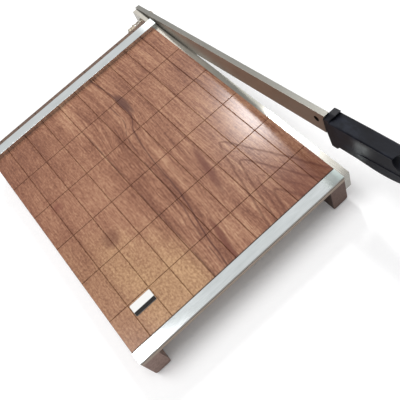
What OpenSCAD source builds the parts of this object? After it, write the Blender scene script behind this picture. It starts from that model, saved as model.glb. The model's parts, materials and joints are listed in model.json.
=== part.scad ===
// Guillotine paper trimmer: a wooden board on runners with a swinging knife arm.
// Bench frame used by the modules: x = 0 is the cutting plane and the board lies
// towards -x, y = 0 is the face of the paper fence and the front lies towards -y,
// z = 0 is the table. centred() moves all of it to the middle of the outer box.

/* [Board] */
// Length of the cut, from the front edge to the face of the fence
cut_len = 304.8; // [250:0.1:380]
// Width of the table, from the cutting plane to the left edge
table_w = 250.5; // [200:0.1:320]
// Thickness of the board
board_t = 8; // [7:0.5:14]
// Board behind the face of the fence
rear_margin = 24; // [18:0.1:40]
// Bevel along the top edges of the board
edge_bevel = 0.6; // [0.2:0.1:1]

/* [Scored grid] */
// Spacing of the lines along the cut
grid_x = 25.4; // [20:0.1:40]
// Spacing of the lines across the cut
grid_y = 50.8; // [40:0.1:80]
// Width of a scored line at the surface
score_w = 1.1; // [0.6:0.1:2]

/* [Runners and pads] */
// Width of a runner
runner_w = 18; // [14:0.5:30]
// Height of a runner
runner_h = 33; // [27:0.5:50]
// Radius of a runner's lower edges
runner_r = 3; // [1:0.5:6]
// How far a runner stops short of the rear edge
runner_short = 1.6; // [0:0.1:6]
// Diameter of a rubber pad
pad_d = 11; // [8:0.5:14]
// Height of a rubber pad
pad_h = 2; // [1:0.5:4]
// Distance of a pad's middle from the runner's end
pad_inset = 30; // [12:1:60]

/* [Fence and front strip] */
// Width of the paper fence
fence_w = 11.8; // [8:0.1:15]
// Height of the paper fence
fence_h = 5.8; // [4:0.1:10]
// Gap from the fence's end to the cutting plane
fence_end = 2; // [0.5:0.1:5]
// Width of the front strip
strip_w = 12.2; // [8:0.1:20]
// Thickness of the front strip
strip_t = 3; // [2.5:0.1:4]
// How far the front strip stands above the board
strip_proud = 0.3; // [0:0.1:0.8]
// Joint between the front strip and the board
strip_gap = 0.4; // [0.2:0.1:1]

/* [Label] */
// Width of the blank label plate
label_w = 24; // [12:0.5:36]
// Height of the blank label plate
label_l = 13; // [8:0.5:30]
// Thickness of the blank label plate
label_t = 0.5; // [0.3:0.1:1]
// Corner radius of the blank label plate
label_r = 1.5; // [0.5:0.1:3]
// Gap from the scored line above the label
label_drop = 2; // [1:0.5:10]

/* [Bed knife] */
// Thickness of the bed knife
bed_t = 6.5; // [5:0.1:10]
// Height of the bed knife
bed_h = 24; // [20:0.5:32]
// Bed knife behind the pivot
bed_tail = 17; // [12:0.5:24]
// Corner radius of the bed knife's rear end
bed_r = 1.5; // [1:0.5:9]

/* [Knife arm] */
// Thickness of the arm
arm_t = 5.5; // [4.5:0.1:8]
// Width of the arm
arm_w = 24; // [20:0.5:32]
// Arm behind the pivot
arm_tail = 20.4; // [14:0.1:24]
// Corner radius of the arm's tail
tail_r = 1.5; // [0.5:0.1:6]
// Angle of the arm above the closed position
arm_rest = 11.6; // [0:0.1:60]
// Shear clearance between the two knives
blade_gap = 0.1; // [0.05:0.01:0.2]
// Height of the ground bevel
bevel_h = 7; // [3:0.5:9]
// Flat left at the cutting edge
bevel_land = 1; // [0.5:0.1:2]
// Pivot to the start of the ground bevel
bevel_start = 24; // [18:1:60]
// Diameter of the cross hole near the handle
lock_d = 6; // [3:0.5:8]
// Cross hole above the arm's middle line
lock_up = 1.7; // [0:0.1:4]
// Gap from the handle's collar to the edge of the cross hole
lock_gap = 4.6; // [2:0.1:12]
// Width of the tang in the handle
tang_w = 14; // [10:0.5:15]
// Thickness of the tang in the handle
tang_t = 3; // [2.5:0.1:3.4]
// Length of the tang in the handle
tang_len = 58; // [50:1:60]

/* [Handle] */
// Foot of the handle's collar short of the bed knife's front end
collar_back = 17.7; // [10:0.1:40]
// Collar to the middle of the round end
grip_len = 83.8; // [80:0.1:120]
// Thickness of the handle
grip_t = 11.7; // [10.5:0.1:18]
// Gap from the cutting plane to the handle
grip_gap = 0.3; // [0.3:0.1:0.8]
// Handle below the arm's middle line, at the collar
grip_drop = 26; // [22:0.5:28]
// Handle below the arm's middle line, at the round end
grip_end_drop = 22.8; // [20:0.1:25]
// Depth of the belly under the handle
grip_belly = 1.4; // [0:0.1:2]
// Collar to the start of the belly
belly_from = 30.8; // [26:0.1:36]
// Length of one half of the belly
belly_len = 22; // [16:0.1:23]
// Rise of the belly's second half towards the round end
belly_rise = 2.5; // [1:0.1:3]
// Handle above the arm's middle line, at the round end
grip_rise = 11.3; // [11:0.1:14]
// Inner edge of the handle's slanted top below the arm's top, at the collar
slant_foot = 7.8; // [7:0.1:10]
// Drop of the handle's slanted top across its thickness
slant_drop = 6.1; // [4:0.1:8]
// Tilt of the handle's slanted top, up towards the round end
slant_tilt = 1.2; // [0.5:0.1:4]
// Depth of the sunk panel on the handle's inner face
panel_deep = 0.7; // [0.3:0.1:1]
// Gap from the slanted top to the sunk panel
panel_gap = 1.6; // [1:0.1:4]
// Lower edge of the sunk panel below the arm's middle line, at its start
panel_drop = 17; // [14:0.1:20]
// Lower edge of the sunk panel below the arm's middle line, at the hang hole
panel_end_drop = 12.6; // [10:0.1:14]
// Collar to the start of the sunk panel
panel_from = 33; // [20:0.1:40]
// Length of the slope at the start of the sunk panel
panel_slope = 9; // [2:0.1:20]
// Length of the collar along the arm, below its nose
collar_len = 6.1; // [4:0.1:8]
// Length of the collar along the arm, at its top
collar_top_len = 8.1; // [5:0.1:10]
// Lean of the collar's front face over the arm's width
collar_lean = 2.8; // [0:0.1:6]
// Start of the collar's nose above the arm's middle line
nose_up = 6.8; // [5:0.1:9]
// Further lean of the collar's nose
nose_lean = 2.9; // [0.5:0.1:5]
// Rim of the collar past the handle's outer face
collar_rim = 0.4; // [0.3:0.1:2]
// Width of the bevel on the collar's upper inner edge
collar_bevel = 4.6; // [1:0.1:6]
// Finger guard below the arm's middle line
guard_drop = 30; // [28:0.1:32]
// Length of the finger guard's foot
guard_len = 7; // [5:0.5:14]
// Length of the slope behind the finger guard
guard_heel = 4; // [2:0.1:8]
// Diameter of the hang hole
hang_d = 17; // [8:0.5:18]
// Hang hole above the middle of the round end
hang_up = 6.6; // [0:0.1:7]

/* [Pivot] */
// Diameter of the pivot bolt
bolt_d = 6; // [5:0.5:7]
// Diameter of the pivot bolt's head
bolt_head_d = 12.5; // [11:0.5:16]
// Height of the pivot bolt's head
bolt_head_h = 3.2; // [2.5:0.1:5]
// Pivot below the top of the board
pivot_drop = 9.4; // [8:0.1:12]
// Gap from the washers to the board's rear edge
pivot_gap = 0.8; // [0.5:0.1:5]
// Diameter of the washers
washer_d = 12.6; // [12:0.1:18]
// Thickness of the washers
washer_t = 1.2; // [0.8:0.1:2]
// Wire of the pivot spring
spring_wire = 1.5; // [1.2:0.1:1.8]
// Outer diameter of the pivot spring
spring_d = 12; // [11:0.1:12.6]
// Gap between two curls of the pivot spring
spring_open = 0.6; // [0.5:0.1:2]
// Curls of the pivot spring
spring_curls = 2; // [1.5:0.5:6]
// Width of the nuts across their flats
nut_af = 10; // [9:0.5:12]
// Height of the adjusting nut
nut_h = 4.6; // [3:0.1:8]
// Height of the lock nut
lock_nut_h = 3; // [2.4:0.1:6]
// Bolt past the lock nut
bolt_over = 1.6; // [1:0.1:6]

/* [Screws] */
// Diameter of the wood screws
screw_d = 4; // [3:0.1:4.5]
// Length of the bed screws
bed_screw_len = 20; // [16:0.5:22]
// Number of bed screws
bed_screw_n = 4; // [3:1:6]
// Distance of the outer bed screws from the runner's ends
bed_screw_inset = 15; // [8:1:40]
// Length of the runner screws
runner_screw_len = 26; // [20:0.5:28]
// Wood left over the tips of the runner screws
runner_cover = 3; // [2:0.5:5]
// Number of screws in each runner
runner_screw_n = 3; // [2:1:5]
// Diameter of the small screws of the fence and the strip
small_d = 3; // [2.5:0.1:3.5]
// Metal left over the tips of the small screws
small_cover = 1; // [0.8:0.1:1.5]
// Number of screws in the fence and in the strip
small_n = 3; // [2:1:5]
// Distance of the outer small screws from the runners
small_inset = 30; // [10:1:60]
// Diameter of the handle screws
grip_screw_d = 4; // [3:0.1:4.5]

/* [Fits] */
// Radial running clearance of the arm on the pivot bolt
run_fit = 0.05; // [0.02:0.01:0.1]
// Clearance round fixed pieces in their seats
seat_fit = 0.1; // [0.05:0.01:0.2]

/* [Hidden] */
$fn = 64;
past = 1;
head_ratio = 2;
tip_ratio = 1;

// Board, runners and bed knife
board_left = -table_w;
board_right = -bed_t;
board_w = board_right - board_left;
board_z = pad_h + runner_h;
top_z = board_z + board_t;
board_l = cut_len + rear_margin;
runner_l = board_l - runner_short;
bed_z = top_z - bed_h;
strip_z = top_z + strip_proud - strip_t;
score_side = score_w / sqrt(2);
bevel_side = edge_bevel * sqrt(2);

// Pivot and arm, in the arm's own axes: -y along the arm, z across it
pivot_y = rear_margin + washer_d / 2 + pivot_gap;
pivot_z = top_z - pivot_drop;
grip_start = cut_len + pivot_y - collar_back;
arm_half = arm_w / 2;
arm_out = blade_gap + arm_t;
tang_in = arm_out - tang_t;
tang_top = arm_half - slant_foot - seat_fit;
lock_y = -(grip_start - lock_gap - lock_d / 2);

// Handle
grip_in = grip_gap;
grip_out = grip_in + grip_t;
grip_top = grip_rise;
rim_top = arm_half;
end_r = (grip_top + grip_end_drop) / 2;
end_z = (grip_top - grip_end_drop) / 2;
end_y = -(grip_start + grip_len);
guard_y = -(grip_start + guard_len);
grip_screw_z = tang_top - tang_w / 2;
grip_screw_ys = [-(grip_start + tang_len * 0.3), -(grip_start + tang_len * 0.8)];

// Places along the pivot bolt, from its head inwards
head_x = arm_out + blade_gap + washer_t;
seat_x = -bed_t - washer_t;
bend_r = spring_wire;
curl_z0 = spring_wire + bend_r;
curl_z1 = curl_z0 + spring_curls * (spring_wire + spring_open);
spring_len = curl_z1 + curl_z0;
spring_end_x = seat_x - spring_len;
nut_x = spring_end_x - washer_t - nut_h;
lock_nut_x = nut_x - lock_nut_h;
bolt_end_x = lock_nut_x - bolt_over;
nut_bore_d = bolt_d + 2 * seat_fit;

// Rows of screws
bed_screw_z = (bed_z + board_z) / 2;
bed_screw_ys = spread(bed_screw_n, -cut_len + bed_screw_inset, runner_l - cut_len - bed_screw_inset);
runner_xs = [board_left + runner_w / 2, board_right - runner_w / 2];
runner_screw_ys = [for (i = [0 : runner_screw_n - 1]) -cut_len + runner_l * (i + 0.5) / runner_screw_n];
runner_screw_z = top_z - runner_cover - runner_screw_len;
pad_ys = [-cut_len + pad_inset, -cut_len + runner_l - pad_inset];
small_xs = spread(small_n, board_left + runner_w + small_inset, board_right - runner_w - small_inset);
fence_screw_len = board_t + fence_h - small_cover;
strip_screw_len = board_t + strip_proud - small_cover;
strip_y = -cut_len + strip_w / 2;

// Middle of the outer box
tail_y = pivot_y + (arm_tail - tail_r) * cos(arm_rest) + (arm_half - tail_r) * sin(arm_rest) + tail_r;
rear_y = max(pivot_y + bed_tail, tail_y);
front_y = pivot_y + end_y * cos(arm_rest) + end_z * sin(arm_rest) - end_r;
right_x = max(grip_out + collar_rim, head_x + bolt_head_h);
mid_x = (board_left + right_x) / 2;
mid_y = (rear_y + front_y) / 2;

WOOD = [0.62, 0.43, 0.33];
STAIN = [0.42, 0.31, 0.27];
ALU = [0.82, 0.83, 0.83];
STEEL = [0.62, 0.62, 0.58];
ZINC = [0.70, 0.67, 0.60];
BLACK = [0.14, 0.14, 0.16];
RUBBER = [0.10, 0.10, 0.10];
WHITE = [0.92, 0.92, 0.90];

// n even places from a to b
function spread(n, a, b) = [for (i = [0 : n - 1]) a + (b - a) * i / (n - 1)];

// Collar's front face as a y in the arm's axes: a lean across the arm, and more of it in the nose
function nose(z) = nose_lean * max(0, z - nose_up) / (rim_top - nose_up);
function collar_y(z) = -(grip_start + collar_lean * (z + arm_half) / arm_w + nose(z));

// The pivot spring's middle line: straight end, bend, curls, bend, straight end
spring_r = (spring_d - spring_wire) / 2;
bend_a = bend_r / spring_r * 180 / PI;
bend_rings = 3;
curl_rings = 8;
spring_turn = 360 * spring_curls;
function bend_in(k) = [bend_a * (1 - cos(k)), spring_wire + bend_r * sin(k), 90 - k];
function bend_out(k) = [bend_a + spring_turn + bend_a * sin(k), curl_z1 + bend_r * (1 - cos(k)), k];
function curl(t) = [bend_a + spring_turn * t, curl_z0 + (curl_z1 - curl_z0) * t, 0];
spring_line = concat(
    [[0, 0, 90]],
    [for (i = [0 : bend_rings - 1]) bend_in(90 * i / bend_rings)],
    [for (i = [0 : curl_rings * spring_curls]) curl(i / (curl_rings * spring_curls))],
    [for (i = [1 : bend_rings]) bend_out(90 * i / bend_rings)],
    [[2 * bend_a + spring_turn, spring_len, 90]]
);
function on_spring(p, r) = [r * cos(p[0]), r * sin(p[0]), p[1]];
spring_pts = [for (p = spring_line) on_spring(p, spring_r)];
spring_n = len(spring_pts);
spring_gap = min([
    for (i = [0 : spring_n - 1]) for (j = [i + curl_rings - 2 : 1 : spring_n - 1])
        norm(spring_pts[i] - spring_pts[j]) - spring_wire
]);
echo(spring_gap = spring_gap);

// Helpers

module centred() {
    translate([-mid_x, -mid_y, 0])
        children();
}

// Turns the arm's own axes into the bench frame
module on_arm() {
    translate([0, pivot_y, pivot_z])
        rotate([-arm_rest, 0, 0])
            children();
}

// Extrudes an outline drawn in y and z from x0 to x1
module along_x(x0, x1) {
    translate([x0, 0, 0])
        rotate([90, 0, 90])
            linear_extrude(x1 - x0)
                children();
}

// Extrudes an outline drawn in x and z from y0 to y1
module along_y(y0, y1) {
    translate([0, y1, 0])
        rotate([90, 0, 0])
            linear_extrude(y1 - y0)
                children();
}

// Rod along x between two places
module rod_x(x0, x1, d) {
    translate([x0, 0, 0])
        rotate([0, 90, 0])
            cylinder(h = x1 - x0, d = d);
}

// Countersunk screw, its flat head at z = 0 and its tip at z = -length
module screw(d, length) {
    head_h = d * (head_ratio - 1) / 2;
    difference() {
        union() {
            translate([0, 0, -head_h])
                cylinder(h = head_h, d1 = d, d2 = d * head_ratio);
            translate([0, 0, -length + d * tip_ratio])
                cylinder(h = length - d * tip_ratio, d = d);
            translate([0, 0, -length])
                cylinder(h = d * tip_ratio, d1 = d * 0.1, d2 = d);
        }
        for (a = [0, 90])
            rotate([0, 0, a])
                translate([0, 0, -head_h / 4])
                    cube([d * 1.1, d * 0.22, head_h], center = true);
    }
}

// Room for that screw, with its seat clearance and an open mouth above the head
module screw_room(d, length, mouth = 0) {
    head_h = d * (head_ratio - 1) / 2;
    head_d = d * head_ratio + 2 * seat_fit;
    room_d = d + 2 * seat_fit;
    translate([0, 0, -head_h])
        cylinder(h = head_h, d1 = room_d, d2 = head_d);
    translate([0, 0, -length - seat_fit])
        cylinder(h = length, d = room_d);
    cylinder(h = mouth + seat_fit, d = head_d);
}

module at_bed_screws() {
    for (y = bed_screw_ys)
        translate([-seat_fit, y, bed_screw_z])
            rotate([0, 90, 0])
                children();
}

module at_runner_screws() {
    for (x = runner_xs)
        for (y = runner_screw_ys)
            translate([x, y, runner_screw_z])
                rotate([180, 0, 0])
                    children();
}

module at_fence_screws() {
    for (x = small_xs)
        translate([x, fence_w / 2, board_z + seat_fit])
            rotate([180, 0, 0])
                children();
}

module at_strip_screws() {
    for (x = small_xs)
        translate([x, strip_y, board_z + seat_fit])
            rotate([180, 0, 0])
                children();
}

module at_handle_screws() {
    for (y = grip_screw_ys)
        translate([grip_out - seat_fit, y, grip_screw_z])
            rotate([0, 90, 0])
                children();
}

grip_screw_len = grip_out - seat_fit - tang_in - seat_fit;

// Square rod turned on its edge, for scored lines and bevels along x or y
module v_rod(side, length, turn) {
    rotate([0, 0, turn])
        rotate([45, 0, 0])
            cube([length, side, side], center = true);
}

module runner_outline() {
    translate([-runner_w / 2, runner_r])
        square([runner_w, runner_h - runner_r]);
    translate([-runner_w / 2 + runner_r, 0])
        square([runner_w - 2 * runner_r, runner_h]);
    for (side = [-1, 1])
        translate([side * (runner_w / 2 - runner_r), runner_r])
            circle(r = runner_r);
}

module runner(x) {
    difference() {
        translate([x, 0, pad_h])
            along_y(-cut_len, -cut_len + runner_l)
                runner_outline();
        at_runner_screws()
            screw_room(screw_d, runner_screw_len, runner_screw_z - pad_h + past);
        at_bed_screws()
            screw_room(screw_d, bed_screw_len);
    }
}

module washer(x) {
    translate([x, pivot_y, pivot_z])
        difference() {
            rod_x(0, washer_t, washer_d);
            rod_x(-past, washer_t + past, nut_bore_d);
        }
}

// Hexagon nut with its outer corners turned off
module nut(x, height) {
    corner_d = nut_af / cos(30);
    translate([x, pivot_y, pivot_z])
        rotate([0, 90, 0])
            difference() {
                intersection() {
                    cylinder(h = height, d = corner_d, $fn = 6);
                    union() {
                        cylinder(h = height / 4, d1 = nut_af, d2 = corner_d + nut_af / 10);
                        translate([0, 0, height / 4])
                            cylinder(h = height, d = corner_d + nut_af / 10);
                    }
                }
                translate([0, 0, -past])
                    cylinder(h = height + 2 * past, d = nut_bore_d);
            }
}

// Sub-parts of the base

module base_board() {
    color(WOOD)
        centred()
            difference() {
                translate([board_left, -cut_len, board_z])
                    cube([board_w, board_l, board_t]);
                translate([board_left - past, -cut_len - past, strip_z])
                    cube([board_w + 2 * past, strip_w + strip_gap + past, strip_t + past]);
                for (i = [1 : ceil(board_w / grid_x)])
                    if (i * grid_x + score_w < table_w)
                        translate([-i * grid_x, 0, top_z])
                            v_rod(score_side, 3 * board_l, 90);
                for (j = [1 : ceil(cut_len / grid_y)])
                    if (j * grid_y + score_w < cut_len - strip_w)
                        translate([0, -j * grid_y, top_z])
                            v_rod(score_side, 3 * table_w, 0);
                translate([board_left, 0, top_z])
                    v_rod(bevel_side, 3 * board_l, 90);
                translate([0, rear_margin, top_z])
                    v_rod(bevel_side, 3 * table_w, 0);
                at_runner_screws()
                    screw_room(screw_d, runner_screw_len);
                at_fence_screws()
                    screw_room(small_d, fence_screw_len, past);
                at_strip_screws()
                    screw_room(small_d, strip_screw_len, past);
            }
}

module left_runner() {
    color(STAIN)
        centred()
            runner(runner_xs[0]);
}

module right_runner() {
    color(STAIN)
        centred()
            runner(runner_xs[1]);
}

module foot_pads() {
    color(RUBBER)
        centred()
            for (x = runner_xs)
                for (y = pad_ys)
                    translate([x, y, 0]) {
                        cylinder(h = pad_h / 2, d1 = pad_d - pad_h, d2 = pad_d);
                        translate([0, 0, pad_h / 2])
                            cylinder(h = pad_h / 2, d = pad_d);
                    }
}

module front_strip() {
    color(ALU)
        centred()
            difference() {
                translate([board_left, -cut_len, strip_z])
                    cube([board_w, strip_w, strip_t]);
                at_strip_screws()
                    screw_room(small_d, strip_screw_len);
            }
}

module paper_fence() {
    color(ALU)
        centred()
            difference() {
                translate([board_left, 0, top_z])
                    cube([table_w - fence_end, fence_w, fence_h]);
                at_fence_screws()
                    screw_room(small_d, fence_screw_len);
            }
}

module label_plate() {
    row = floor((cut_len - strip_w - label_l) / grid_y);
    column = floor((table_w - grid_x / 2) / grid_x) - 0.5;
    color(WHITE)
        centred()
            translate([-column * grid_x, -row * grid_y - label_drop - label_l / 2, top_z])
                linear_extrude(label_t) {
                    square([label_w - 2 * label_r, label_l], center = true);
                    square([label_w, label_l - 2 * label_r], center = true);
                    for (sx = [-1, 1])
                        for (sy = [-1, 1])
                            translate([sx * (label_w / 2 - label_r), sy * (label_l / 2 - label_r)])
                                circle(r = label_r);
                }
}

module bed_outline() {
    rear = pivot_y + bed_tail;
    translate([-cut_len, bed_z])
        square([cut_len + rear - bed_r, bed_h]);
    translate([-cut_len, bed_z + bed_r])
        square([cut_len + rear, bed_h - 2 * bed_r]);
    for (z = [bed_z + bed_r, top_z - bed_r])
        translate([rear - bed_r, z])
            circle(r = bed_r);
}

module bed_knife() {
    color(STEEL)
        centred()
            difference() {
                along_x(-bed_t, 0)
                    bed_outline();
                translate([0, pivot_y, pivot_z])
                    rod_x(-bed_t - past, past, nut_bore_d);
                at_bed_screws()
                    screw_room(screw_d, bed_screw_len, past);
            }
}

module bed_screws() {
    color(ZINC)
        centred()
            at_bed_screws()
                screw(screw_d, bed_screw_len);
}

module runner_screws() {
    color(ZINC)
        centred()
            at_runner_screws()
                screw(screw_d, runner_screw_len);
}

module fence_screws() {
    color(ZINC)
        centred()
            at_fence_screws()
                screw(small_d, fence_screw_len);
}

module strip_screws() {
    color(ZINC)
        centred()
            at_strip_screws()
                screw(small_d, strip_screw_len);
}

// Sub-parts of the pivot

module pivot_bolt() {
    color(ZINC)
        centred()
            translate([0, pivot_y, pivot_z])
                difference() {
                    union() {
                        rod_x(bolt_end_x, head_x, bolt_d);
                        rod_x(head_x, head_x + bolt_head_h * 0.7, bolt_head_d);
                        translate([head_x + bolt_head_h * 0.7, 0, 0])
                            rotate([0, 90, 0])
                                cylinder(h = bolt_head_h * 0.3, d1 = bolt_head_d, d2 = bolt_head_d * 0.86);
                    }
                    translate([head_x + bolt_head_h, 0, 0])
                        cube([bolt_head_h, bolt_head_d * 1.2, bolt_head_d * 0.13], center = true);
                }
}

module head_washer() {
    color(ZINC)
        centred()
            washer(arm_out + blade_gap);
}

module seat_washer() {
    color(ZINC)
        centred()
            washer(seat_x);
}

module cap_washer() {
    color(ZINC)
        centred()
            washer(spring_end_x - washer_t);
}

module pivot_spring() {
    sides = 6;
    points = [
        for (p = spring_line) for (k = [0 : sides - 1])
            let (
                out = spring_wire / 2 * cos(360 * k / sides),
                up = spring_wire / 2 * sin(360 * k / sides),
                c = on_spring(p, spring_r + out)
            )
            c + up * [sin(p[0]) * sin(p[2]), -cos(p[0]) * sin(p[2]), cos(p[2])]
    ];
    last = (spring_n - 1) * sides;
    walls = [
        for (i = [0 : spring_n - 2]) for (k = [0 : sides - 1])
            let (a = i * sides + k, b = i * sides + (k + 1) % sides)
            each [[a, b, a + sides], [b, b + sides, a + sides]]
    ];
    caps = [for (k = [1 : sides - 2]) each [[0, k + 1, k], [last, last + k, last + k + 1]]];
    color(ZINC)
        centred()
            translate([seat_x, pivot_y, pivot_z])
                rotate([0, -90, 0])
                    polyhedron(points, concat(walls, caps));
}

module adjusting_nut() {
    color(ZINC)
        centred()
            nut(nut_x, nut_h);
}

module lock_nut() {
    color(ZINC)
        centred()
            nut(lock_nut_x, lock_nut_h);
}

// Sub-parts of the arm

module arm_outline() {
    polygon([
        [arm_tail - tail_r, -arm_half],
        [arm_tail - tail_r, arm_half],
        [collar_y(arm_half) + seat_fit, arm_half],
        [collar_y(nose_up) + seat_fit, nose_up],
        [collar_y(-arm_half) + seat_fit, -arm_half]
    ]);
    translate([0, -arm_half + tail_r])
        square([arm_tail, arm_w - 2 * tail_r]);
    for (side = [-1, 1])
        translate([arm_tail - tail_r, side * (arm_half - tail_r)])
            circle(r = tail_r);
}

module tang_outline(fit) {
    translate([-(grip_start + tang_len) - fit, tang_top - tang_w - fit])
        square([tang_len + past + fit, tang_w + 2 * fit]);
}

module knife_arm() {
    color(STEEL)
        centred()
            on_arm()
                difference() {
                    union() {
                        along_x(blade_gap, arm_out)
                            arm_outline();
                        along_x(tang_in, arm_out)
                            tang_outline(0);
                    }
                    along_y(-grip_start - past, -bevel_start)
                        polygon([
                            [blade_gap + bevel_land, -arm_half],
                            [blade_gap + bevel_land, -arm_half - past],
                            [arm_out + past, -arm_half - past],
                            [arm_out + past, -arm_half + bevel_h],
                            [arm_out, -arm_half + bevel_h]
                        ]);
                    rod_x(-past, arm_out + past, bolt_d + 2 * run_fit);
                    translate([0, lock_y, lock_up])
                        rod_x(-past, arm_out + past, lock_d);
                    at_handle_screws()
                        screw_room(grip_screw_d, grip_screw_len + past);
                }
}

// Depth of the handle's lower edge at u belly lengths past the belly's start
function belly(u) = grip_drop + (u < 1
    ? grip_belly * u * u * (3 - 2 * u)
    : grip_belly - belly_rise * (u - 1) * (u - 1));

// Long outline of the handle behind its collar, with the belly and the round end
module grip_outline() {
    steps = 4;
    polygon(concat(
        [[collar_y(grip_top), grip_top], [end_y, grip_top], [end_y - end_r * 0.2, end_z - end_r * 0.93]],
        [for (i = [2 * steps : -1 : 0]) [-(grip_start + belly_from + belly_len * i / steps), -belly(i / steps)]],
        [[guard_y - guard_heel, -grip_drop], [-grip_start - past, -grip_drop]]
    ));
    translate([end_y, end_z])
        circle(r = end_r);
}

module collar_outline() {
    polygon([
        [collar_y(rim_top), rim_top],
        [collar_y(rim_top) - collar_top_len, rim_top],
        [collar_y(nose_up) - collar_len, nose_up],
        [collar_y(-grip_drop) - collar_len, -grip_drop],
        [guard_y - guard_heel, -grip_drop],
        [guard_y, -guard_drop],
        [-grip_start, -guard_drop],
        [-grip_start, -arm_half],
        [collar_y(nose_up), nose_up]
    ]);
}

// Inner edge of the handle's slanted top at a distance along the handle
function crease(along) = arm_half - slant_foot + along * tan(slant_tilt);

// Room over the handle's slanted top
module slant_room() {
    slope = slant_drop / grip_t;
    reach = grip_len + end_r + past;
    translate([0, -grip_start, crease(0)])
        rotate([-slant_tilt, 0, 0])
            along_y(-reach, guard_drop)
                polygon([
                    [grip_in - past, -slope * past],
                    [grip_out + past, slope * (grip_t + past)],
                    [grip_out + past, 2 * guard_drop],
                    [grip_in - past, 2 * guard_drop]
                ]);
}

// Sunk panel on the handle's inner face, from its sloped start to the hang hole
module panel_outline() {
    start = panel_from - past;
    polygon([
        [-(grip_start + start), crease(start) - panel_gap],
        [end_y, crease(grip_len) - panel_gap],
        [end_y, -panel_end_drop],
        [-(grip_start + start), -panel_drop]
    ]);
}

module panel_room() {
    start_y = -(grip_start + panel_from);
    intersection() {
        along_x(grip_in - past, grip_in + panel_deep)
            panel_outline();
        translate([0, 0, -guard_drop])
            linear_extrude(2 * guard_drop)
                polygon([
                    [grip_in - past, start_y + past * panel_slope / panel_deep],
                    [grip_in + past, start_y - past * panel_slope / panel_deep],
                    [grip_in + past, end_y - past],
                    [grip_in - past, end_y - past]
                ]);
    }
}

module handle_grip() {
    color(BLACK)
        centred()
            on_arm()
                difference() {
                    union() {
                        difference() {
                            along_x(grip_in, grip_out)
                                grip_outline();
                            slant_room();
                        }
                        intersection() {
                            along_x(grip_in, grip_out + collar_rim)
                                collar_outline();
                            along_y(end_y, 0)
                                polygon([
                                    [grip_in, -guard_drop - past],
                                    [grip_in, nose_up],
                                    [grip_in + collar_bevel, rim_top],
                                    [grip_out + collar_rim, rim_top],
                                    [grip_out + collar_rim, -guard_drop - past]
                                ]);
                        }
                    }
                    panel_room();
                    along_x(tang_in - seat_fit, arm_out + seat_fit)
                        tang_outline(seat_fit);
                    at_handle_screws()
                        screw_room(grip_screw_d, grip_screw_len, past);
                    translate([0, end_y, end_z + hang_up])
                        rod_x(grip_in - past, grip_out + past, hang_d);
                }
}

module handle_screws() {
    color(ZINC)
        centred()
            on_arm()
                at_handle_screws()
                    screw(grip_screw_d, grip_screw_len);
}

base_board();
left_runner();
right_runner();
foot_pads();
front_strip();
paper_fence();
label_plate();
bed_knife();
bed_screws();
runner_screws();
fence_screws();
strip_screws();
pivot_bolt();
head_washer();
seat_washer();
pivot_spring();
cap_washer();
adjusting_nut();
lock_nut();
knife_arm();
handle_grip();
handle_screws();
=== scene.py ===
# Paper trimmer: the looks of its board, knives, handle and hardware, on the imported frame.
import json
import math

import bmesh
import bpy
from mathutils import Matrix, Vector


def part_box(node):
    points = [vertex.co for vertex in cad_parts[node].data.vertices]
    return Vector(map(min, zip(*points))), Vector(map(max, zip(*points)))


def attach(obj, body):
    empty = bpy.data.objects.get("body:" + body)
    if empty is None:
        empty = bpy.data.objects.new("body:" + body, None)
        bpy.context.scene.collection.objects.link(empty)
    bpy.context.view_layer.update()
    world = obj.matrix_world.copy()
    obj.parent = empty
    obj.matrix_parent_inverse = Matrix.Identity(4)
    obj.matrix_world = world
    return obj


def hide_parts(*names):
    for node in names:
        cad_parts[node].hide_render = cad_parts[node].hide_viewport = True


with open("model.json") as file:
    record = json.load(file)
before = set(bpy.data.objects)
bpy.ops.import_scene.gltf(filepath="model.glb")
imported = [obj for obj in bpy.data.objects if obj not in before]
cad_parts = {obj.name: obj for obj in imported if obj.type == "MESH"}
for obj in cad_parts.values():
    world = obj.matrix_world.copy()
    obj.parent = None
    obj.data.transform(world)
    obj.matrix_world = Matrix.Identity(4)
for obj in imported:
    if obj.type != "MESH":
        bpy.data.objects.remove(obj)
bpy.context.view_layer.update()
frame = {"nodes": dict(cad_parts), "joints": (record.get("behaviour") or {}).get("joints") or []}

MM = 0.001

# Boxes of the nodes that the finishes and the rounding are set out from
board_low, board_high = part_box("base_board")
_, bed_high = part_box("bed_knife")
fence_low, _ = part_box("paper_fence")
strip_low, strip_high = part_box("front_strip")
label_low, label_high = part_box("label_plate")
grip_low, grip_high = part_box("handle_grip")

# Bench corner, where the cutting plane, the face of the fence and the top of the board meet
BENCH = Vector((bed_high.x, fence_low.y, board_high.z))

# Pivot of the arm, and the arm's angle as stored
PIVOT_JOINT = frame["joints"][0]
PIVOT = Vector(PIVOT_JOINT["pos_m"])
ARM_REST = math.radians(-PIVOT_JOINT["range_deg"][0])

# Front strip, in mm from the bench corner: its rear joint and its underside
SEAM_Y = (strip_high.y - BENCH.y) / MM
STRIP_FOOT = (strip_low.z - BENCH.z) / MM

# Scored lines of the board, in mm: their spacing and width
GRID_X = 25.4
GRID_Y = 50.8
SCORE_W = 1.1

# Main vein of the board, in mm: its length, its sway and its leftmost and middle lines
VEIN_RUN = 290
VEIN_SWAY = 54
VEIN_LEFT = -138
VEIN_MIDDLE = -115

# Course of the main vein from the fence forward, as shares of its length and of its sway
VEIN_COURSE = (
    (0.0, 0.62), (0.26, 0.7), (0.35, 0.5), (0.52, 0.36), (0.7, 0.29), (0.86, 0.12), (1.0, 0.02),
)

# Cathedral arches of the board: their middle line and an apex's rounding in mm, and the slopes of the legs
ARCH_X = -58
ARCH_ROUND = 3
ARCH_STEEP = 4.3
ARCH_SLACK = 2.2

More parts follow.
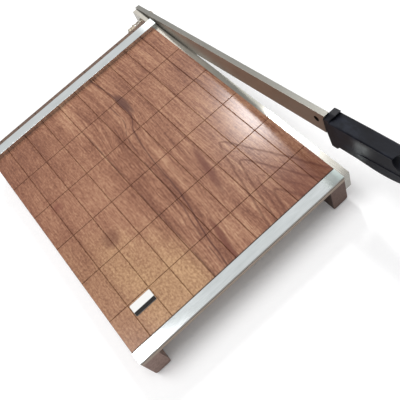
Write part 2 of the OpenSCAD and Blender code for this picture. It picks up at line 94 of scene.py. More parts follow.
# Each arch: the y of its apex and its width in mm, and its share of darkness
ARCHES = ((-186, 1.2, 1.0), (-203, 0.6, 0.4), (-218, 1.2, 1.0), (-244, 0.9, 0.6), (-268, 1.6, 0.9))

# Single marks of the veneer: the middle of each and its half width and length in mm, and its lean
SMUDGE = ((-97, -60), (5.5, 23), 0)
KNOT = ((-202, -186), (12, 14), 0)
FLECK = ((-224, -111), (8, 9), 0)
FLAME = ((-86, -201), (5.5, 44), 0.19)
BLAZE = ((-123.56, -272), (4.5, 36), 0.14)
PALE_STREAK = ((-112, -272), (5, 36), 0.1)

# Plies on the board's edges, in mm: the height of a pair and the pattern's shift
PLY_PAIR = 2.9
PLY_SHIFT = 0.7

# Metal rim of the label and its soft edge, in mm
LABEL_RIM = 0.45
LABEL_SOFT = 0.15

# Cross hole of the arm and hole of the handle, in mm from the pivot: along the arm, across it, and the radius
CROSS_HOLE = (-310.6, 1.7, 3.0)
HANG_HOLE = (-402.0, 0.85, 8.5)

# Crease below the handle's slanted top, in mm from the pivot and along the arm
CREASE_FROM = 318.2
CREASE_Z = 4.2
CREASE_SLOPE = 0.021

# Handle, in mm from the pivot: its inner face, and its outer face without the collar's rim
COLLAR_RIM = 0.4
GRIP_INNER = (grip_low.x - PIVOT.x) / MM
GRIP_OUTER = (grip_high.x - PIVOT.x) / MM - COLLAR_RIM

# Handle, in mm from the pivot and along the arm: its sunk panel along y and z, and its collar
PANEL_Y = (-402.5, -351)
PANEL_Z = (-17, 4.3)
COLLAR_MIDDLE = -324
COLLAR_REAR = -336
COLLAR_TOP = 6

# Pivot spring, in mm, and the steps of its wire's round, of a bend and of a curl
SPRING_WIRE = 1.5
SPRING_CURLS = 2
WIRE_SIDES = 14
BEND_STEPS = 6
CURL_STEPS = 28

# Angles between two faces, in degrees: one plane up to, one curve up to, an arris from, and a sharp line from
ONE_PLANE = 0.5
ONE_CURVE = 4.3
ARRIS = 32
SHARP = 50

# Widths, in mm: a face is broad from, the handle's shortest rounded edge, near, and near the cutting plane
BROAD = 1.5
SHORTEST = 0.8
NEAR = 0.1
NEAR_CUT = 0.2

# Light of the world on the object, where 1 is white
SKY = 0.33

# Floor: its reach in m, and its glow near the board, what is added far away and what is taken off below it as
# a painted shadow
FLOOR_REACH = 6
GLOW_NEAR = 0.15
GLOW_FAR = 0.5
GLOW_BELOW = 0.13

# Camera: its lens and sensor and its place from the bench corner in mm, and its angles in degrees
LENS = 51.106
SENSOR = 36
CAMERA_PLACE = (-164.5, -510.52, 458.53)
CAMERA_HEADING = -10.07
CAMERA_DIP = 57.35
CAMERA_ROLL = -33.32

# Sockets of a Mix node that is set to colours
MIX_A = 6
MIX_B = 7
MIX_RESULT = 2

# Finishes

class Value:
    """One socket of a finish. Arithmetic on it adds Math nodes to that finish."""

    def __init__(self, finish, socket):
        self.finish = finish
        self.socket = socket

    def math(self, operation, *others):
        return self.finish.node("Math", {"operation": operation}, dict(enumerate((self, *others))))

    def output(self, name):
        """Another output of the same node."""
        return Value(self.finish, self.socket.node.outputs[name])

    def __add__(self, other):
        return self.math("ADD", other)

    def __sub__(self, other):
        return self.math("SUBTRACT", other)

    def __rsub__(self, other):
        return self * -1 + other

    def __mul__(self, other):
        return self.math("MULTIPLY", other)

    def __truediv__(self, other):
        return self.math("DIVIDE", other)

    def __mod__(self, other):
        return self.math("FLOORED_MODULO", other)

    def __pow__(self, other):
        return self.math("POWER", other)

    def __abs__(self):
        return self.math("ABSOLUTE")

    __radd__ = __add__
    __rmul__ = __mul__


def set_stops(ramp, stops):
    elements = ramp.color_ramp.elements
    while len(elements) < len(stops):
        elements.new(1)
    for element, (place, colour) in zip(elements, stops):
        element.position = place
        element.color = (*colour, 1)


def set_points(curve, points):
    spots = curve.mapping.curves[0].points
    while len(spots) < len(points):
        spots.new(1, 1)
    for spot, place in zip(spots, points):
        spot.location = place
    curve.mapping.update()


class Finish:
    """The nodes of a material or a world, and the calls that build them."""

    def __init__(self, owner):
        owner.use_nodes = True
        self.owner = owner
        self.tree = owner.node_tree
        self.tree.nodes.clear()

    def node(self, kind, settings=None, sockets=None, output=0):
        """Adds a node: its settings first, then the values or links of its sockets."""
        made = self.tree.nodes.new("ShaderNode" + kind)
        for name, value in (settings or {}).items():
            if name == "stops":
                set_stops(made, value)
            elif name == "points":
                set_points(made, value)
            else:
                setattr(made, name, value)
        for key, value in (sockets or {}).items():
            if isinstance(value, Value):
                self.tree.links.new(value.socket, made.inputs[key])
            else:
                made.inputs[key].default_value = value
        return Value(self, made.outputs[output]) if made.outputs else None

    def places(self, origin, turn=0):
        """Object coordinates in mm from origin, turned back about x, as three values."""
        spot = self.node("TexCoord", output="Object")
        spot = self.node("VectorMath", {"operation": "SUBTRACT"}, {0: spot, 1: origin})
        spot = self.node("VectorRotate", {"rotation_type": "X_AXIS"}, {"Vector": spot, "Angle": turn})
        spot = self.node("VectorMath", {"operation": "SCALE"}, {0: spot, "Scale": 1 / MM})
        x = self.node("SeparateXYZ", {}, {0: spot})
        return x, x.output("Y"), x.output("Z")

    def noise(self, x, y, z=0.0, detail=2.0, rough=0.5):
        spot = self.node("CombineXYZ", {}, {0: x, 1: y, 2: z})
        return self.node("TexNoise", {}, {"Vector": spot, "Scale": 1.0, "Detail": detail, "Roughness": rough})

    def rise(self, value, low, high):
        """0 below low and 1 above high, smooth between them."""
        settings = {"interpolation_type": "SMOOTHSTEP"}
        return self.node("MapRange", settings, {"Value": value, "From Min": low, "From Max": high})

    def fall(self, value, low, high):
        """1 below low and 0 above high, smooth between them."""
        return 1 - self.rise(value, low, high)

    def blend(self, factor, a, b):
        sockets = {0: factor}
        for key, colour in ((MIX_A, a), (MIX_B, b)):
            sockets[key] = colour if isinstance(colour, Value) else (*colour, 1)
        return self.node("Mix", {"data_type": "RGBA"}, sockets, output=MIX_RESULT)

    def layers(self, colour, *stains):
        """A colour under stains, each of which is a share and a tint."""
        for share, tint in stains:
            colour = self.blend(share, colour, tint)
        return colour

    def ramp(self, value, stops):
        return self.node("ValToRGB", {"stops": stops}, {0: value})

    def bump(self, height, strength, distance):
        return self.node("Bump", {}, {"Height": height, "Strength": strength, "Distance": distance * MM})

    def surface(self, **sockets):
        named = {key.replace("_", " ").title().replace("Ior", "IOR"): value for key, value in sockets.items()}
        shader = self.node("BsdfPrincipled", {}, named)
        self.node("OutputMaterial", {}, {0: shader})
        return self.owner


def wood_mark(f, x, y, mark):
    """1 in the middle of an oval mark of the veneer and 0 outside it."""
    (middle_x, middle_y), (half_x, half_y), lean = mark
    off_y = y - middle_y
    across = (x - off_y * lean - middle_x) / half_x
    along = off_y / half_y
    return f.fall(across * across + along * along, 0.0, 1.0)


def dark_veins(f, x, y, ripple, off_vein):
    """The main vein, a thinner one beside it and the edge of a dark band."""
    ahead = y * -1
    broken = f.rise(f.noise(x / 3, y / 16, 8.0, detail=2), 0.3, 0.55)
    vein = f.fall(abs(off_vein), 0.5, 1.2) * (0.6 + broken * 0.4)
    side_vein = f.fall(abs(off_vein + 13 + y * 0.035), 0.2, 1.2) * broken * f.rise(ahead, 35, 60)
    band_edge = f.fall(abs(x + ripple * 0.6 + 151.5), 0.2, 1.2) * broken * f.rise(ahead, 40, 80)
    return vein.math("MAXIMUM", side_vein * 0.8).math("MAXIMUM", band_edge * 0.8)


def cathedral_arches(f, x, y, ripple, wander):
    """Curved lines at the front right, with one steep and one slack leg."""
    across = x - ARCH_X + ripple * 0.8 + wander * 0.5
    leg = ARCH_STEEP - f.rise(across, -3, 3) * (ARCH_STEEP - ARCH_SLACK)
    reach = (across * across + ARCH_ROUND ** 2) ** 0.5
    level = y + leg * (reach - ARCH_ROUND) + ripple
    steepness = (1 + (leg * across / reach) ** 2) ** 0.5
    arches = 0.0
    for apex, width, depth in ARCHES:
        arches = arches + f.fall(abs(level - apex) / steepness, width * 0.3, width * 1.5) * depth
    unbroken = f.rise(f.noise(x / 14, y / 14, 7.0, detail=2), 0.15, 0.4)
    return arches * f.rise(y * -1, 165, 180) * unbroken


def scored_lines(f, x, y):
    off_x = abs((x + GRID_X / 2) % GRID_X - GRID_X / 2)
    off_y = abs((y + GRID_Y / 2) % GRID_Y - GRID_Y / 2)
    lines_x = f.fall(off_x, SCORE_W * 0.3, SCORE_W * 0.62)
    lines_y = f.fall(off_y, SCORE_W * 0.3, SCORE_W * 0.62) * f.rise(y * -1, 10, 12)
    return lines_x.math("MAXIMUM", lines_y)


def ply_edge(f, x, y, z):
    """Pale and dark plies, and painted shade in the joint below the front strip."""
    ply = f.rise(abs((z + PLY_SHIFT) % PLY_PAIR - PLY_PAIR / 2), 0.55, 0.75)
    ply_tone = f.noise(x / 9, y / 9, z / 0.5, detail=4)
    # Painted shade: a dark line in the joint just below the front strip
    painted_joint_shade = f.rise(z, STRIP_FOOT - 1.3, STRIP_FOOT - 0.5) * f.fall(y, SEAM_Y - 4, SEAM_Y - 2)
    return f.layers(
        (0.6, 0.5, 0.42),
        (ply, (0.4, 0.32, 0.26)),
        (ply_tone * 0.4, (0.28, 0.21, 0.17)),
        (painted_joint_shade * 0.75, (0.05, 0.036, 0.028)),
    )


def board_wood():
    """Varnished veneer with scored lines on the top, plies on the edges."""
    f = Finish(bpy.data.materials.new("board_wood"))
    x, y, z = f.places(BENCH)
    left = x * -1
    ahead = y * -1

    # Course of the main vein, which the grain beside it follows
    course = f.node("FloatCurve", {"points": VEIN_COURSE}, {"Value": ahead / VEIN_RUN})
    vein_x = course * VEIN_SWAY + VEIN_LEFT
    pull = f.fall(abs(x - VEIN_MIDDLE), 10, 60) * 0.4
    wander = (f.noise(x / 70, y / 150, detail=1) - 0.5) * 10
    ripple = (f.noise(x / 9, y / 22, 4.0, detail=2) - 0.5) * 3
    grain_x = x + wander + ripple * 0.6 - (vein_x - VEIN_MIDDLE) * pull
    off_vein = x + ripple * 0.5 - vein_x

    # Broad bands, streaks, fibres and curl along the grain; the left of the board is plainer
    plain = f.rise(left, 150, 190)
    bands = f.noise(grain_x / 16, y / 260, detail=2)
    streak = f.noise(grain_x / 2.6, y / 60, 2.0, detail=3, rough=0.6)
    fibre = f.noise(grain_x / 0.9, y / 10, 3.0, detail=2)
    pore = f.rise(f.noise(grain_x / 0.6, y / 7, 5.0, detail=1), 0.58, 0.72)
    curl = f.noise(x / 2.2, y / 3.0, 6.0, detail=3, rough=0.7)
    patch = f.noise(x / 22, y / 30, 10.0, detail=3, rough=0.6)

    # Golden wood at the front left, less so along the left edge
    left_edge = f.rise(left + (patch - 0.5) * 20, 208, 238)
    golden = f.rise(left * 0.8 + ahead + (patch - 0.5) * 60, 315, 410) * f.rise(grain_x * -1, 138, 160)
    golden = golden * (1 - left_edge * 0.6)

    # Strands and a shade beside the main vein, and a dark band to its left
    strand = f.rise(f.noise(off_vein / 1.5, y / 70, 9.0, detail=2), 0.54, 0.68)
    strand = strand * f.fall(abs(off_vein + 8), 8, 40) * f.rise(ahead, -10, 70)
    halo = f.fall(abs(off_vein), 1, 9)
    dark_band = f.rise(x + ripple * 0.6, -153, -149) * f.fall(grain_x, -138, -124)
    dark_band = dark_band * f.rise(ahead, -20, 60) * f.fall(ahead, 225, 275)

    # Single marks of the veneer, and the red of its front right
    mark_x = x + ripple
    smudge = wood_mark(f, x + ripple * 1.5, y, SMUDGE) ** 0.6
    knot = wood_mark(f, mark_x, y, KNOT)
    fleck = wood_mark(f, mark_x, y, FLECK)
    flame = wood_mark(f, mark_x, y, FLAME) * f.rise(streak, 0.3, 0.5)
    blaze = wood_mark(f, mark_x, y, BLAZE)
    pale = wood_mark(f, mark_x, y, PALE_STREAK)
    ruddy = f.rise(ahead, 225, 285) * f.rise(x, -110, -60)
    corner = f.rise(ahead, 240, 280) * f.rise(x, -62, -40)

    # Lightness of the wood
    tone = 0.5 + (bands - 0.5) * (0.8 - plain * 0.4) + (streak - 0.5) * (1.15 - plain * 0.75)
    tone = tone + (fibre - 0.5) * (0.75 - golden * 0.4) + (patch - 0.5) * 0.35
    tone = tone + (curl - 0.5) * (0.85 + golden * 0.9) + golden * 0.1 - plain * 0.01
    tone = tone - f.rise(y, -130, -20) * plain * 0.13 + f.rise(x, -150, -120) * 0.02
    tone = tone - f.rise(x, -110, -70) * f.rise(y, -130, -80) * 0.05
    tone = tone - left_edge * f.rise(ahead, 125, 155) * (1 - f.rise(ahead, 180, 215) * 0.6) * 0.1
    tone = tone - dark_band * 0.1 - halo * 0.08 - ruddy * 0.1 + pale * 0.2
    brown_wood = f.ramp(tone, (
        (0.08, (0.132, 0.05, 0.03)),
        (0.34, (0.222, 0.094, 0.055)),
        (0.54, (0.314, 0.15, 0.09)),
        (0.75, (0.408, 0.22, 0.132)),
        (0.95, (0.495, 0.292, 0.178)),
    ))
    golden_wood = f.ramp(tone, ((0.1, (0.22, 0.106, 0.05)), (0.9, (0.53, 0.325, 0.172))))

    # Over the veneer's marks: scores, painted shade in the gap at the front strip, the dull margin behind the
    # fence, the edges
    arches = cathedral_arches(f, x, y, ripple, wander)
    scored = scored_lines(f, x, y)
    # Painted shade: the gap at the front strip's rear joint is darkened
    painted_seam_shade = f.fall(y, SEAM_Y + 0.5, SEAM_Y + 2.0)
    margin = f.rise(y, 11, 12)
    edge = f.fall(z, -1.0, -0.8)
    colour = f.layers(
        brown_wood,
        (golden * 0.8, golden_wood),
        (ruddy * 0.3, (0.19, 0.062, 0.032)),
        (corner * 0.45, (0.15, 0.042, 0.022)),
        (strand * 0.4, (0.11, 0.036, 0.021)),
        (arches * 0.5, (0.085, 0.028, 0.022)),
        (dark_veins(f, x, y, ripple, off_vein) * 0.85, (0.085, 0.028, 0.019)),
        (smudge * 0.8, (0.085, 0.034, 0.026)),
        (knot * 0.6, (0.13, 0.045, 0.028)),
        (fleck * 0.5, (0.17, 0.052, 0.035)),
        (flame.math("MAXIMUM", blaze) * 0.8, (0.13, 0.038, 0.024)),
        (pore * 0.35, (0.1, 0.04, 0.024)),
        (scored * 0.45, (0.075, 0.032, 0.02)),
        (painted_seam_shade * 0.85, (0.03, 0.018, 0.014)),
        (margin * 0.8, (0.1, 0.075, 0.06)),
        (edge, ply_edge(f, x, y, z)),
    )
    height = (streak - 0.5) * 0.5 + (fibre - 0.5) * 0.35 - pore * 0.4
    return f.surface(
        base_color=colour,
        roughness=0.42 + (fibre - 0.5) * 0.2 + edge * 0.3,
        coat_weight=(1 - edge) * (1 - scored * 0.6) * (1 - arches * 0.5) * 0.42,
        coat_roughness=0.18,
        specular_ior_level=0.06,
        normal=f.bump(height, 0.25, 0.12),
    )


def runner_wood():
    """Stained batten with long grain; the right one is darker, above all on its inner side, and the bottom is
    darker too, all as painted shade.
    """
    f = Finish(bpy.data.materials.new("runner_wood"))
    x, y, z = f.places(BENCH)
    wander = (f.noise(x / 30, y / 120, z / 30, detail=1) - 0.5) * 6
    streak = f.noise((x + wander) / 1.6, y / 90, (z + wander) / 1.6, detail=4, rough=0.6)
    pore = f.rise(f.noise(x / 0.5, y / 10, z / 0.5, detail=1), 0.58, 0.7)
    stain = f.ramp(streak, (
        (0.25, (0.16, 0.098, 0.08)),
        (0.5, (0.3, 0.2, 0.168)),
        (0.75, (0.4, 0.275, 0.235)),
    ))
    # Painted shade: the right runner darker, the bottom darker, and the right runner's inner side darkest
    painted_shade_right_low = f.rise(x, -200, -20) * 0.58 + f.rise(z * -1, 36, 41) * 0.2
    painted_shade_inner_side = f.rise(x, -60, -50) * f.fall(x, -24.6, -23.6)
    colour = f.layers(
        stain,
        (pore * 0.4, (0.06, 0.036, 0.028)),
        (painted_shade_right_low, (0.05, 0.022, 0.015)),
        (painted_shade_inner_side * 0.7, (0.025, 0.014, 0.011)),
    )
    return f.surface(
        base_color=colour,
        roughness=0.55 + (streak - 0.5) * 0.3,
        specular_ior_level=0.15,
        normal=f.bump(streak - pore * 0.5, 0.3, 0.15),
    )


def strip_aluminium():
    """Flat bar with the fine lines of drawing along x and a cloudy tone; its side faces and its right end are
    darkened as painted shade.
    """
    f = Finish(bpy.data.materials.new("strip_aluminium"))
    x, y, z = f.places(BENCH)
    drawn = f.noise(x / 60, y / 0.35, z / 0.35, detail=3, rough=0.6)
    cloud = f.noise(x / 24, y / 7, z / 7, detail=7.0, rough=0.6)
    metal = f.ramp(drawn * 0.5 + cloud * 0.5, (
        (0.3, (0.48, 0.51, 0.51)),
        (0.5, (0.57, 0.6, 0.605)),
        (0.7, (0.63, 0.66, 0.665)),
    ))
    # Painted shade: the front strip's right end darker
    painted_shade_end = (f.rise(x, -28, -19) * 0.58 + f.rise(x, -16, -9) * 0.3) * f.rise(y * -1, 200, 250)
    # Painted shade: the side faces below the board's top darker
    side = f.fall(z, -0.4, 0.0)
    return f.surface(
        base_color=f.layers(metal, (painted_shade_end, (0.22, 0.255, 0.245)), (side * 0.8, (0.2, 0.175, 0.145))),
        metallic=1.0,
        roughness=0.08 + drawn * 0.03 + cloud * 0.03 + f.rise(x, -30, -10) * 0.26,
        normal=f.bump(drawn, 0.03, 0.01),
    )


def bare_steel(name, origin, turn):
    """Start of a knife's finish: its places, the lines of grinding along its length, and its tarnish."""
    f = Finish(bpy.data.materials.new(name))
    x, y, z = f.places(origin, turn)
    ground = f.noise(x / 0.5, y / 60, z / 0.5, detail=2)
    cloud = f.noise(x / 14, y / 26, z / 14, detail=4, rough=0.6)
    return f, (x, y, z), ground, cloud


def steel_under_marks(f, ground, cloud, dulled, *stains):
    """End of a knife's finish: bar steel under its marks, painted shade and a painted highlight among them,
    rougher where it is dulled.
    """
    steel = f.ramp(ground * 0.4 + cloud * 0.6, (
        (0.3, (0.3, 0.28, 0.245)),
        (0.5, (0.375, 0.355, 0.315)),
        (0.7, (0.44, 0.425, 0.385)),
    ))
    return f.surface(
        base_color=f.layers(steel, *stains),
        metallic=0.82,
        specular_ior_level=0.2,
        roughness=0.28 + ground * 0.05 + cloud * 0.06 + dulled,
        normal=f.bump(ground, 0.02, 0.01),
    )


def arm_steel():
    """Knife arm: darker on its top and towards the handle, with painted shade, nearly black, in its cross
    hole.
    """
    f, (x, y, z), ground, cloud = bare_steel("knife_steel_arm", PIVOT, ARM_REST)
    along, across, radius = CROSS_HOLE
    off_y = y - along
    off_z = z - across
    # Painted shade: the cross hole's wall and rim nearly black
    painted_hole_shade = f.fall((off_y * off_y + off_z * off_z) ** 0.5, radius, radius + 0.3)
    on_top = f.rise(x, 0.1, 0.4)
    ahead = f.rise(y * -1, 130, 320)
    return steel_under_marks(
        f, ground, cloud, 0,
        (ahead * (1 - on_top) * 0.55, (0.2, 0.195, 0.175)),
        ((ahead * 0.12 + 0.78) * on_top, (0.17, 0.168, 0.152)),
        (painted_hole_shade, (0.012, 0.011, 0.01)),
    )


def bed_steel():
    """Bed knife: a painted highlight in its middle, rougher with painted shade behind that, duller at its
    front, and painted shade along the arm by the pivot.
    """
    f, (x, y, _), ground, cloud = bare_steel("knife_steel", BENCH, 0)
    ahead = y * -1
    front = f.rise(ahead, 240, 285)
    # Painted highlight: a bright band where the bed reflects the key lamp
    painted_glare = f.rise(ahead + (cloud - 0.5) * 24, 172, 222)
    # Painted shade from the arm behind the highlight; also rougher there
    dull_and_painted_shade = f.rise(ahead, 80, 160) * f.fall(ahead, 180, 215)
    polished = f.rise(ahead, 180, 225) * (0.23 - front * 0.16)
    # Painted shade in the crevice between the bed's top and the arm by the pivot
    painted_crevice_shade = f.rise(x, -2.4, -0.8) * f.rise(y, -110, -20)
    return steel_under_marks(
        f, ground, cloud, dull_and_painted_shade * 0.12 - polished,
        (painted_glare * (1 - front * 0.85), (0.9, 0.88, 0.83)),
        (dull_and_painted_shade * 0.75 + front * 0.35, (0.13, 0.13, 0.115)),
        (painted_crevice_shade * 0.9, (0.03, 0.028, 0.024)),
    )


def zinc_hardware():
    """Yellowed zinc plate on screws, washers, spring and nuts."""
    f = Finish(bpy.data.materials.new("zinc_hardware"))
    x, y, z = f.places(PIVOT)
    cloud = f.noise(x / 3, y / 3, z / 3, detail=5, rough=0.65)
    fine = f.noise(x / 0.3, y / 0.3, z / 0.3, detail=2)
    colour = f.ramp(cloud, (
        (0.3, (0.22, 0.185, 0.135)),
        (0.5, (0.33, 0.285, 0.225)),
        (0.7, (0.42, 0.375, 0.315)),
    ))
    return f.surface(
        base_color=colour,
        metallic=0.85,
        roughness=0.38 + cloud * 0.2,
        normal=f.bump(fine, 0.05, 0.02),
    )


def handle_plastic():
    """Black moulded plastic, finely grained, rubbed paler in places, with a dull inner flank and painted
    shade along the crease below its slanted top.
    """
    f = Finish(bpy.data.materials.new("handle_plastic"))
    x, y, z = f.places(PIVOT, ARM_REST)
    along = y * -1
    grain = f.noise(x / 0.45, y / 0.45, z / 0.45, detail=3, rough=0.6)
    rub = f.noise(x / 9, y / 22, z / 9, detail=4, rough=0.6)
    colour = f.ramp(rub, (
        (0.3, (0.004, 0.004, 0.006)),
        (0.55, (0.007, 0.008, 0.012)),
        (0.75, (0.018, 0.021, 0.031)),
    ))
    off_crease = z - CREASE_Z - (along - CREASE_FROM) * CREASE_SLOPE
    # Painted shade: the crease turns metallic over the dark colour, which darkens it to a line
    painted_crease_shade = f.fall(abs(off_crease), 0.2, 0.9) * f.fall(x, 1.0, 2.0) * f.rise(along, 325, 345)
    flank = f.fall(x, GRIP_INNER + 1.0, GRIP_INNER + 2.0) * f.fall(z, CREASE_Z - 1, CREASE_Z + 1)
    sheen = f.rise(along, 347, 357) * f.fall(along, 362, 380) * f.fall(z, -2, 4)
    return f.surface(
        base_color=colour,
        metallic=painted_crease_shade * 0.8,
        specular_ior_level=0.18,
        roughness=0.34 + rub * 0.14 + (grain - 0.5) * 0.1 + flank * (0.17 - sheen * 0.17),
        normal=f.bump(grain, 0.25, 0.08),
    )


def pad_rubber():
    """Dull black rubber with a fine grain."""
    f = Finish(bpy.data.materials.new("pad_rubber"))
    x, y, z = f.places(BENCH)
    grain = f.noise(x / 0.6, y / 0.6, z / 0.6, detail=4)
    colour = f.ramp(grain, ((0.3, (0.012, 0.012, 0.012)), (0.7, (0.035, 0.034, 0.033))))
    return f.surface(base_color=colour, roughness=0.7 + grain * 0.2, normal=f.bump(grain, 0.4, 0.1))


def label_blank():
    """Blank enamelled plate: white field over a dark foot, metal at its rim."""
    f = Finish(bpy.data.materials.new("label_blank"))
    half_x, half_y, _ = (label_high - label_low) / 2 / MM
    x, y, _ = f.places((label_low + label_high) / 2)
    wear = f.noise(x / 1.5, y / 1.5, detail=5, rough=0.7)
    foot = f.fall(y, -half_y * 0.32, -half_y * 0.28)
    rim_x = f.rise(abs(x), half_x - LABEL_RIM, half_x - LABEL_RIM + LABEL_SOFT)
    rim_y = f.rise(abs(y), half_y - LABEL_RIM, half_y - LABEL_RIM + LABEL_SOFT)
    rim = rim_x.math("MAXIMUM", rim_y)
    colour = f.layers(
        (0.8, 0.8, 0.78),
        (foot, (0.008, 0.007, 0.007)),
        (wear * (0.12 - foot * 0.1), (0.4, 0.37, 0.33)),
        (rim * 0.5, (0.35, 0.33, 0.31)),
    )
    return f.surface(
        base_color=colour,
        roughness=0.25 + wear * 0.2,
        specular_ior_level=0.1,
        normal=f.bump(rim, 0.3, 0.05),
    )


FINISHES = {
    "board_wood": board_wood(),
    "runner_wood": runner_wood(),
    "strip_aluminium": strip_aluminium(),
    "knife_steel": bed_steel(),
    "zinc_hardware": zinc_hardware(),
    "handle_plastic": handle_plastic(),
    "pad_rubber": pad_rubber(),
    "label_blank": label_blank(),
}
ARM_STEEL = arm_steel()

# Pieces

def broad(face):
    return face.calc_area() > BROAD * MM * max(e.calc_length() for e in face.edges)


def lies_flat(face):
    """True for a broad face that no other broad face curves on from."""
    for edge in face.edges:
        shallow = edge.is_manifold and ONE_PLANE < math.degrees(edge.calc_face_angle()) < ONE_CURVE
        if shallow and all(broad(side) for side in edge.link_faces):
            return False
    return broad(face)


def placed(piece_name, bm, body, node, slot, finish=None):
    """Makes a piece of a bmesh, in the place of this CAD node."""
    smooth = [not lies_flat(face) for face in bm.faces]
    mesh = bpy.data.meshes.new(piece_name)
    bm.to_mesh(mesh)
    bm.free()
    mesh.set_sharp_from_angle(angle=math.radians(SHARP))
    mesh.polygons.foreach_set("use_smooth", smooth)
    mesh.materials.append(finish or FINISHES[slot])
    piece = bpy.data.objects.new(piece_name, mesh)
    bpy.context.scene.collection.objects.link(piece)
    evened = piece.modifiers.new("even_normals", "WEIGHTED_NORMAL")
    evened.keep_sharp = True
    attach(piece, body)
    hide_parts(node)


def merged_copy(node):
    """A CAD node's triangles, merged into whole faces."""
    bm = bmesh.new()
    bm.from_mesh(frame["nodes"][node].data)
    bmesh.ops.remove_doubles(bm, verts=bm.verts, dist=0.002 * MM)
    bmesh.ops.dissolve_limit(bm, angle_limit=math.radians(ONE_PLANE), verts=bm.verts, edges=bm.edges)
    return bm


def ease(bm, radius, steps, picked=None, clamp=True):
    """Rounds the arrises, or those of them that picked() names."""
    arrises = [e for e in bm.edges if e.is_manifold and e.calc_face_angle() > math.radians(ARRIS)]
    if picked:
        arrises = [e for e in arrises if picked(e)]
    bmesh.ops.bevel(
        bm, geom=arrises, offset=radius * MM, segments=steps, profile=0.5, affect="EDGES",
        material=-1, clamp_overlap=clamp,
    )


def eased(node, body, slot, radius, steps=2, picked=None, finish=None):
    bm = merged_copy(node)
    ease(bm, radius, steps, picked)
    placed(node + "_eased", bm, body, node, slot, finish)


def along_arm(vertex):
    """Place of a vertex in mm from the pivot, with y along the arm."""
    return Matrix.Rotation(ARM_REST, 3, "X") @ (vertex.co - PIVOT) / MM


def on_cutting_plane(edge):
    return all(abs(v.co.x - BENCH.x) < NEAR_CUT * MM for v in edge.verts)


def bed_arris(edge):
    """True away from the bed knife's cutting edge, its upper one."""
    return not on_cutting_plane(edge) or any(v.co.z < bed_high.z - NEAR_CUT * MM for v in edge.verts)


def arm_arris(edge):
    """True away from the arm's cutting edge, its lower one."""
    return not on_cutting_plane(edge) or any(along_arm(v).z > 0 for v in edge.verts)


def in_panel(spot):
    return PANEL_Y[0] < spot.y < PANEL_Y[1] and PANEL_Z[0] < spot.z < PANEL_Z[1]


def on_hang_hole(spot):
    along, across, radius = HANG_HOLE
    return abs(math.hypot(spot.y - along, spot.z - across) - radius) < NEAR


def handle_arris(edge):
    """True for the handle's outer edges, apart from its panel, its holes and the collar's narrow rim."""
    ends = [along_arm(v) for v in edge.verts]
    if edge.calc_face_angle_signed() < 0:
        return False
    if all(spot.z > COLLAR_TOP and spot.y > COLLAR_REAR for spot in ends):
        return not all(spot.x > GRIP_OUTER - NEAR and spot.y < COLLAR_MIDDLE for spot in ends)
    outer = all(spot.x < GRIP_INNER + NEAR or spot.x > GRIP_OUTER - NEAR for spot in ends)
    narrow = any(spot.x > GRIP_OUTER + NEAR and spot.y < COLLAR_MIDDLE for spot in ends)
    inside = all(in_panel(spot) for spot in ends) or all(on_hang_hole(spot) for spot in ends)
    return outer and not narrow and not inside and edge.calc_length() > SHORTEST * MM


def eased_handle():
    bm = merged_copy("handle_grip")
    ease(bm, radius=1.0, steps=3, picked=handle_arris, clamp=False)
    bmesh.ops.remove_doubles(bm, verts=bm.verts, dist=0.02 * MM)
    placed("handle_grip_eased", bm, "arm", "handle_grip", "handle_plastic")


def eased_pieces():
    for node in ("left_runner", "right_runner"):
        eased(node, "base", "runner_wood", radius=1.0, steps=3)
    eased("foot_pads", "base", "pad_rubber", radius=0.3)
    eased("front_strip", "base", "strip_aluminium", radius=0.3)
    eased("paper_fence", "base", "strip_aluminium", radius=0.35)
    eased("label_plate", "base", "label_blank", radius=0.12)
    eased("bed_knife", "base", "knife_steel", radius=0.3, picked=bed_arris)
    for node in ("pivot_bolt", "adjusting_nut", "lock_nut"):
        eased(node, "base", "zinc_hardware", radius=0.2)
    for node in ("head_washer", "seat_washer", "cap_washer"):
        eased(node, "base", "zinc_hardware", radius=0.15)
    eased("knife_arm", "arm", "knife_steel", radius=0.3, picked=arm_arris, finish=ARM_STEEL)
    eased_handle()


def pivot_spring():
    """Round wire: a straight end, a bend, the curls, a bend and a straight end, towards -x."""
    low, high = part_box("pivot_spring")
    wire = SPRING_WIRE * MM
    radius = (high.z - PIVOT.z) - wire / 2
    pitch = ((high.x - low.x) - 4 * wire) / SPRING_CURLS
    start = Vector((high.x, PIVOT.y - wire, PIVOT.z + radius))
    bm = bmesh.new()
    faces_x = Matrix.Translation(start) @ Matrix.Rotation(math.pi / 2, 4, "Y")
    bmesh.ops.create_circle(bm, cap_ends=True, segments=WIRE_SIDES, radius=wire / 2, matrix=faces_x)
    ring = list(bm.edges)

    def run(centre, axis, angle, steps, drift=(0, 0, 0)):
        made = bmesh.ops.spin(bm, geom=ring, cent=centre, axis=axis, angle=angle, steps=steps, dvec=drift)
        ring[:] = [e for e in made["geom_last"] if isinstance(e, bmesh.types.BMEdge)]

    run(start, (1, 0, 0), 0, 1, (-wire, 0, 0))
    run(start + Vector((-wire, wire, 0)), (0, 0, -1), math.pi / 2, BEND_STEPS)
    steps = CURL_STEPS * SPRING_CURLS
    run(PIVOT, (-1, 0, 0), 2 * math.pi * SPRING_CURLS, steps, (-pitch * SPRING_CURLS / steps, 0, 0))
    last_bend = Vector((low.x + wire, PIVOT.y, PIVOT.z + radius))
    run(last_bend, (0, 0, 1), math.pi / 2, BEND_STEPS)
    run(last_bend, (1, 0, 0), 0, 1, (-wire, 0, 0))
    bmesh.ops.contextual_create(bm, geom=ring)
    bmesh.ops.remove_doubles(bm, verts=bm.verts, dist=0.001 * MM)
    bmesh.ops.recalc_face_normals(bm, faces=bm.faces)
    placed("pivot_spring_wire", bm, "base", "pivot_spring", "zinc_hardware")


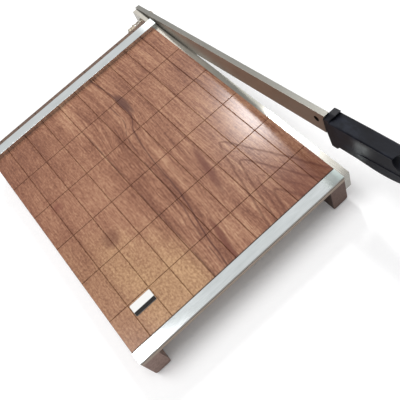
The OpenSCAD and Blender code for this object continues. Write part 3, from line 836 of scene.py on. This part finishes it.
SLOT_OF_NODE = {
    "base_board": "board_wood",
    "bed_screws": "zinc_hardware",
    "runner_screws": "zinc_hardware",
    "fence_screws": "zinc_hardware",
    "strip_screws": "zinc_hardware",
    "handle_screws": "zinc_hardware",
}


def finish_nodes():
    """Gives the nodes that keep their own solids their finishes."""
    for node, slot in SLOT_OF_NODE.items():
        mesh = frame["nodes"][node].data
        mesh.materials.clear()
        mesh.materials.append(FINISHES[slot])


eased_pieces()
pivot_spring()
finish_nodes()

# Stage

def background_share(f):
    """1 for rays that see the background, straight, in a reflection or through glass."""
    path = f.node("LightPath")
    glossy = path.output("Is Glossy Ray")
    return path.math("MAXIMUM", glossy).math("MAXIMUM", path.output("Is Transmission Ray"))


def floor():
    """Pale paper that glows for the camera, more so far away and hardly at all below the board, which paints
    a shadow there.
    """
    f = Finish(bpy.data.materials.new("floor"))
    x, y, _ = f.places(Vector())
    paper = f.noise(x / 3, y / 3, detail=3)
    colour = f.ramp(paper, ((0.3, (0.86, 0.86, 0.87)), (0.7, (0.89, 0.89, 0.89))))
    matt = f.node("BsdfDiffuse", {}, {"Color": colour})
    far = f.rise((x * x + y * y) ** 0.5, 350, 1800)
    low = board_low / MM
    high = board_high / MM
    # Painted shadow: the glow is taken off under the board, fading out just in front of it
    painted_shadow_below = f.rise(y, low.y - 10, low.y + 32) * f.rise(x, low.x, low.x + 20) * f.fall(x, high.x - 20, high.x)
    strength = background_share(f) * (far * GLOW_FAR + GLOW_NEAR - painted_shadow_below * GLOW_BELOW)
    glow = f.node("Emission", {}, {"Color": (1, 1, 1, 1), "Strength": strength})
    both = f.node("AddShader", {}, {0: matt, 1: glow})
    f.node("OutputMaterial", {}, {0: both})
    bm = bmesh.new()
    bmesh.ops.create_grid(bm, x_segments=1, y_segments=1, size=FLOOR_REACH)
    mesh = bpy.data.meshes.new("floor")
    bm.to_mesh(mesh)
    bm.free()
    mesh.materials.append(f.owner)
    sheet = bpy.data.objects.new("floor", mesh)
    bpy.context.scene.collection.objects.link(sheet)


def softbox(name, heading, height, distance, width, depth, power):
    """Lamp that faces the middle of the board, at a heading from +y and a height in degrees."""
    target = (board_low + board_high) / 2
    lamp = bpy.data.lights.new(name, "AREA")
    lamp.shape = "RECTANGLE"
    lamp.size = width
    lamp.size_y = depth
    lamp.energy = power
    box = bpy.data.objects.new(name, lamp)
    turn = Matrix.Rotation(math.radians(-heading), 3, "Z") @ Matrix.Rotation(math.radians(height), 3, "X")
    box.location = target + turn @ Vector((0, distance, 0))
    box.rotation_euler = (target - box.location).to_track_quat("-Z", "Y").to_euler()
    bpy.context.scene.collection.objects.link(box)


def surroundings():
    f = Finish(bpy.data.worlds.new("studio"))
    bpy.context.scene.world = f.owner
    strength = background_share(f) * (1 - SKY) + SKY
    sky = f.node("Background", {}, {"Color": (1, 1, 1, 1), "Strength": strength})
    f.node("OutputWorld", {}, {0: sky})


def camera():
    lens = bpy.data.cameras.new("camera")
    lens.sensor_width = SENSOR
    lens.lens = LENS
    view = bpy.data.objects.new("camera", lens)
    heading, pitch, roll = (math.radians(a) for a in (CAMERA_HEADING, 90 - CAMERA_DIP, CAMERA_ROLL))
    turn = Matrix.Rotation(heading, 4, "Z") @ Matrix.Rotation(pitch, 4, "X") @ Matrix.Rotation(roll, 4, "Z")
    view.matrix_world = Matrix.Translation(BENCH + Vector(CAMERA_PLACE) * MM) @ turn
    bpy.context.scene.collection.objects.link(view)
    bpy.context.scene.camera = view


floor()
softbox("key", heading=33.3, height=50.3, distance=1.615, width=0.14, depth=0.23, power=8.2)
softbox("window", heading=-60, height=70, distance=1.6, width=0.6, depth=0.75, power=11)
softbox("top", heading=180, height=84, distance=1.5, width=0.6, depth=0.6, power=6.6)
surroundings()
camera()
bpy.context.scene.view_settings.view_transform = "Standard"
